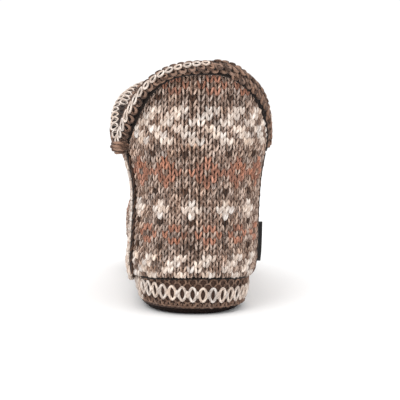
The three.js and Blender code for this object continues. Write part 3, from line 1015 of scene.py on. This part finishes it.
# Rows of the side band: height over its base, loop width, loop height, roundness, thickness,
# yarn, shift in loops, how far it stands out, its shares of the slope and of the hem's rise, and
# the half of each loop that shows.
BAND_ROWS = (
    (11.0, 5.2, 6.4, 2.0, 0.66, "arc", 0.0, 0.1, 0.5, 0.9, 1),
    (12.6, 5.0, 5.4, 2.0, 0.50, "arc", 0.5, 0.0, 0.3, 1.0, 1),
    (9.4, 5.0, 5.6, 2.0, 0.50, "arc", 0.5, -0.1, 0.7, 0.5, 1),
    (1.6, 5.2, 6.6, 2.0, 0.66, "arc", 0.0, 0.1, 0.6, 0.0, -1),
    (0.6, 5.0, 4.4, 2.0, 0.50, "arc", 0.5, 0.0, 0.3, 0.0, -1),
    (3.6, 5.0, 5.6, 2.0, 0.50, "arc", 0.5, -0.1, 0.8, 0.0, -1),
    (6.6, 5.0, 8.8, 1.7, 0.84, "white", 0.0, 0.3, 1.0, 0.0, 0),
)
# Where the white of the side band spreads over its whole height.
WHITE_ENDS = ((-0.05, 0.055), (0.885, 1.04))
# How far apart the loops of the side band stand.
BAND_LOOP = 5.95

def band_slope(place):
    return -1.9 * np.cos(math.pi * place) - 0.4 * np.sin(math.pi * np.minimum(place, 1))


def side_band():
    skein = Skein()
    shares = np.linspace(0, 1, 16)
    sums = band.sums[:-1]
    level = BAND_BASE - SKIRT + (SKIRT + BAND_HEIGHT + hem_rise(band.places))[:, None] * shares
    points, outs = band.read(np.broadcast_to(sums[:, None], level.shape), level)
    insets = [(h, band_inside(h - BAND_BASE))
              for h in np.linspace(BAND_BASE + BAND_HEIGHT, BAND_BASE + 0.4, 12)]
    insets += [(h, sole_inset_at(h / SOLE_THICKNESS) - 0.15)
               for h in (BAND_BASE - 0.4, BAND_BASE - SKIRT + 0.2)]
    inner = np.stack([outline(lower_form(inset), band.places, h) for h, inset in insets], 1)
    skein.grid(np.concatenate([points - outs * 0.7, inner], 1), plies("band ground"), True, True)
    total = band.sums[-1]
    count = int(round(total / BAND_LOOP))
    pitch = total / count
    for height, wide, tall, power, thick, yarn, shift, lift, slant, rise, half in BAND_ROWS:
        at = (np.arange(count) + 0.25 + shift) * pitch
        place = band.place(at)
        near = np.where(place > 1.5, place - 2, place)
        pale = np.zeros(count, bool)
        for low, high in WHITE_ENDS:
            pale |= (near > low) & (near < high)
        names = ["white" if p else yarn for p in pale]
        middle = BAND_BASE + height + band_slope(place) * slant + hem_rise(place) * rise
        across, up = ring(16, wide - thick, tall - thick, power)
        if half:
            order = np.arange(9) if half > 0 else np.arange(8, 17) % 16
            across, up = across[order], up[order]
        level = np.clip(middle[:, None] + up[None], BAND_BASE - SKIRT + 0.6,
                        BAND_BASE + BAND_HEIGHT - 0.4 + hem_rise(place)[:, None])
        paths, outs = band.read(at[:, None] + across[None], level)
        swell = (np.abs(across) / (wide / 2)) ** 2 * -0.3
        paths = paths + outs * (lift + swell)[None, :, None]
        skein.tubes(paths, outs, thick, dyed(names), 6, 0.9, not half)
        if yarn == "white":
            line = np.linspace(-2.1, 2.1, 5)[None]
            run = np.broadcast_to((at + pitch / 2)[:, None], (count, 5))
            paths, outs = band.read(run, middle[:, None] + line)
            radii = np.array([[0.5, 1.15, 1.5, 1.15, 0.5]])
            skein.tubes(paths + outs * 0.1, outs, radii, dyed(names), 6, 0.8)
    # Painted shadow: a near-black cord along the top of the side band under the back panel's hem.
    spots = np.linspace(0.02, INNER_SEAM - 0.02, 120)[None]
    run = np.interp(spots, band.places, sums)
    paths, outs = band.read(run, BAND_BASE + BAND_HEIGHT - 0.5 + hem_rise(spots))
    skein.tubes(paths + outs * 0.1, outs, 0.75, dyed(["ground"]) * 0.6, 7, 0.9)
    return skein.piece("side_band_knit", wool)


# The chain over a side seam: its loops and its distances from the hem and from the rim.
CHAIN_LOOPS = 11
CHAIN_START = 2.0
CHAIN_END = 7.0
# The gathered end where both rolls of the collar band meet on the inner seam.
KNOB_TURNS = 5
KNOB_RADIUS = 4.6
KNOB_TALL = 3.6
KNOB_OUT = 5.6
KNOB_LIFT = -1.6


def on_seam(place, heights):
    """Points, outward and sideways directions along a side seam."""
    spots = np.full(heights.shape, place)
    points, outs = wall.read(spots, heights)
    return points, outs, np.cross(outs, wall.up(spots, heights))


def seam_cord(name, place, hand, knob=False):
    """A crocheted chain over a side seam, with the pale edge stitches of the front beside it."""
    skein = Skein()
    bottom, top = HEM + CHAIN_START, rim_height(place) - CHAIN_END
    pitch = (top - bottom) / CHAIN_LOOPS
    numbers = np.arange(CHAIN_LOOPS)[:, None]
    across, up = ring(14, 2.5, pitch * 1.2, 1.8)
    points, outs, side = on_seam(place, bottom + pitch * (numbers + 0.5) + up)
    lean = np.where(up > 0, -0.35, 0.45) * np.abs(up) * 0.35
    paths = points + side * across[:, None] + outs * (1.5 + lean)[:, None]
    skein.tubes(paths, outs, 0.8, dyed(["dark"] * CHAIN_LOOPS), 6, 0.95, True)
    points, outs, _ = on_seam(place, np.linspace(bottom - 1, top + 1, 40)[None])
    skein.tubes(points + outs, outs, 1.8, dyed(["ground"]) * 0.6, 8, 0.9)
    across, up = ring(12, 2.4, pitch * 0.78, 1.9)
    points, outs, side = on_seam(place, bottom + pitch * (numbers + 0.1) + up)
    paths = points + side * (hand * (across - 3.8))[:, None] + outs * 1.9
    skein.tubes(paths, outs, 0.95, dyed(["white"] * CHAIN_LOOPS) * 0.92, 6, 0.95, True)
    if knob:
        rows = np.linspace(-1, 1, KNOB_TURNS)[:, None]
        turn = np.arange(20)[None] * 2 * math.pi / 20
        width = KNOB_RADIUS * np.sqrt(1 - 0.75 * rows ** 2)
        width = width * (1 + 0.07 * np.cos(5 * turn + rows * 4))
        points, outs, side = on_seam(place, np.full(rows.shape, COLLAR_DIP + KNOB_LIFT))
        middle = points + outs * KNOB_OUT
        paths = (middle + side * (np.cos(turn) * width)[..., None]
                 + outs * (np.sin(turn) * width)[..., None])
        paths[..., 2] += rows * KNOB_TALL
        skein.tubes(paths, unit(paths - middle), 1.15, dyed(["brown"] * KNOB_TURNS), 7, 0.95, True)
    return skein.piece(name, wool)


def side_tab():
    """A folded woven tape that stands out of the outer seam."""
    skein = Skein()
    heights = np.linspace(TAB_BOTTOM, TAB_BOTTOM + TAB_HEIGHT, 13)
    bend = [(TAB_REACH - 0.7 + 0.62 * math.cos(t), 0.68 * math.sin(t))
            for t in np.linspace(-math.pi / 2, math.pi / 2, 9)]
    loop = np.array([(0, -0.62), (2.2, -0.66), *bend, (2.2, 0.66), (0, 0.62)])
    points = np.stack([
        np.stack([x + FIT + loop[:, 0], y + TAB_AHEAD + loop[:, 1], np.full(len(loop), h)], 1)
        for (x, y, _), h in zip(wall.at(np.zeros(len(heights)), heights), heights)])
    skein.grid(points, plies("ground"), False, True)
    skein.ends(*points.shape[:2])
    finish = Finish("tab weave", 0.6, 0.3)
    height, reach = finish.axes(finish.place(), 2, 0)
    weave = (height * (2 * math.pi / 0.00045)).sine() * (reach * (2 * math.pi / 0.0006)).sine()
    speck = finish.noise(2500.0)
    finish.base(finish.blend((weave * 0.5 + 0.5) * 0.5 + speck * 0.5,
                             (0.004, 0.003, 0.003), (0.018, 0.014, 0.013)))
    finish.rough(0.5 + speck * 0.3)
    finish.bump(weave * 0.5 + speck * 0.4, 0.0002)
    return skein.piece("side_tab_tape", finish.material)


def outsole():
    """The soft sole, raised a little between heel and ball."""
    skein = Skein()
    rises = np.array([0, 0.03, 0.12, 0.28, 0.45, 0.62, 0.8, 0.94, 1.0])
    insets = sole_inset_at(rises) + np.array([1.2, 0.25, 0, 0, 0, 0, 0, 0.1, 0.9])
    rings = []
    for rise, inset in zip(rises, insets):
        line = outline(lower_form(inset), wall.places, rise * SOLE_THICKNESS)
        along = (line[:, 1] - MIDDLE[1] - HEEL_Y) / FOOT_LENGTH
        arch = ease((along - 0.24) / 0.12) - ease((along - 0.5) / 0.12)
        line[:, 2] += SOLE_ARCH * (1 - rise) * arch
        rings.append(line)
    slab(skein, rings, plies("ground"))
    finish = Finish("sole rubber", 0.75)
    finish.shader.inputs["Specular IOR Level"].default_value = 0.1
    dots = finish.node("ShaderNodeTexVoronoi", {"feature": "F1"},
                       {"Vector": finish.place(), "Scale": 520.0}, "Distance")
    grit = finish.noise(1800.0)
    dot = 1 - dots.between(0.15, 0.5)
    finish.base(finish.blend(dot * 0.5 + grit * 0.5, linear(11, 6, 5), linear(50, 34, 29)))
    finish.rough(0.6 + grit * 0.3)
    finish.bump(dot * 0.8 + grit * 0.3, 0.0007)
    return skein.piece("sole", finish.material)


def slab(skein, rings, tint):
    """Rings from the underside to the top, closed below and above by strips across the foot."""
    points = np.stack(rings, 1)
    n, m = points.shape[:2]
    skein.grid(points, tint, True, False)
    heel = REAR_SPOTS // 2
    pairs = [((heel + i) % n, (heel - i) % n) for i in range(n // 2 + 1)]
    for level, order in ((0, -1), (m - 1, 1)):
        faces = {4: [], 3: []}
        for (a, b), (c, d) in zip(pairs[:-1], pairs[1:]):
            face = [corner * m + level for corner in dict.fromkeys((a, c, d, b))][::order]
            faces[len(face)].append(face)
        for corners in map(np.array, faces.values()):
            skein.faces(corners - skein.count, np.zeros((*corners.shape, 2)))

def footbed():
    skein = Skein()
    rises = np.array([0, 0.1, 0.3, 0.5, 0.7, 0.85, 0.95, 1.0, 1.0, 1.0])
    soft = np.array([0.6, 0.1, 0, 0, 0.1, 0.5, 1.2, 2.6, 8.0, 14.0])
    rings = []
    for rise, more in zip(rises, soft):
        height = rise * FOOTBED_THICKNESS
        inset = band_inside(height) + FIT + more
        rings.append(outline(lower_form(inset), wall.places, BAND_BASE + height))
    slab(skein, rings, plies("marl"))
    return skein.piece("footbed_fleece", cloth_finish(
        "footbed fleece", linear(120, 106, 95), linear(172, 156, 143), 800.0, 0.0014))


def dress(piece, slot, *nodes):
    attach(piece, "root")
    if nodes:
        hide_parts(*nodes)
    return piece


for cloth in (back_panel(), *front_panels(), backing(), lining()):
    dress(cloth, "upper", "upper")
dress(cuff("cuff_back_knit", SEAM_GAP, INNER_SEAM - SEAM_GAP, back_row, BACK_ROWS,
           loop=5.3, pale_thick=0.64), "cuff", "cuff_back")
dress(cuff("cuff_front_knit", INNER_SEAM + SEAM_GAP, 2 - SEAM_GAP, front_row, FRONT_ROWS,
           loop=7.6, pale_thick=0.56), "cuff", "cuff_front")
dress(side_band(), "side_band", "side_band")
dress(seam_cord("seam_cord_outer_chain", 0.0, 1), "seam_cord", "seam_cord_outer")
dress(seam_cord("seam_cord_inner_chain", INNER_SEAM, -1, True), "seam_cord", "seam_cord_inner")
dress(side_tab(), "side_tab", "side_tab")
dress(outsole(), "outsole", "outsole")
dress(footbed(), "footbed", "footbed")


# Studio.
def studio():
    bpy.ops.mesh.primitive_plane_add(size=60, location=(0, 20, 0))
    floor = bpy.context.active_object
    floor.name = "floor"
    finish = Finish("paper", 0.9)
    finish.base(finish.blend(finish.noise(3.0), (0.84, 0.84, 0.84), (0.86, 0.86, 0.86)))
    floor.data.materials.append(finish.material)
    scene = bpy.context.scene
    scene.view_settings.view_transform = "Standard"
    world = bpy.data.worlds.new("studio")
    scene.world = world
    world.use_nodes = True
    background = world.node_tree.nodes["Background"].inputs
    background["Color"].default_value = (1, 1, 1, 1)
    background["Strength"].default_value = 1.04
    for name, spot, size, power in (
        ("key", (-0.7, -1.1, 1.1), 0.8, 9.0),
        ("fill", (1.1, -0.9, 0.8), 1.0, 3.5),
    ):
        lamp = bpy.data.lights.new(name, "AREA")
        lamp.size = size
        lamp.energy = power
        light = bpy.data.objects.new(name, lamp)
        bpy.context.collection.objects.link(light)
        light.location = spot
        toward = Vector(spot) - Vector((0, 0, 0.07))
        light.rotation_euler = toward.to_track_quat("Z", "Y").to_euler()
    above = bpy.data.lights.new("above", "SUN")
    above.energy = 0.85
    above.angle = 1.2
    bpy.context.collection.objects.link(bpy.data.objects.new("above", above))


studio()
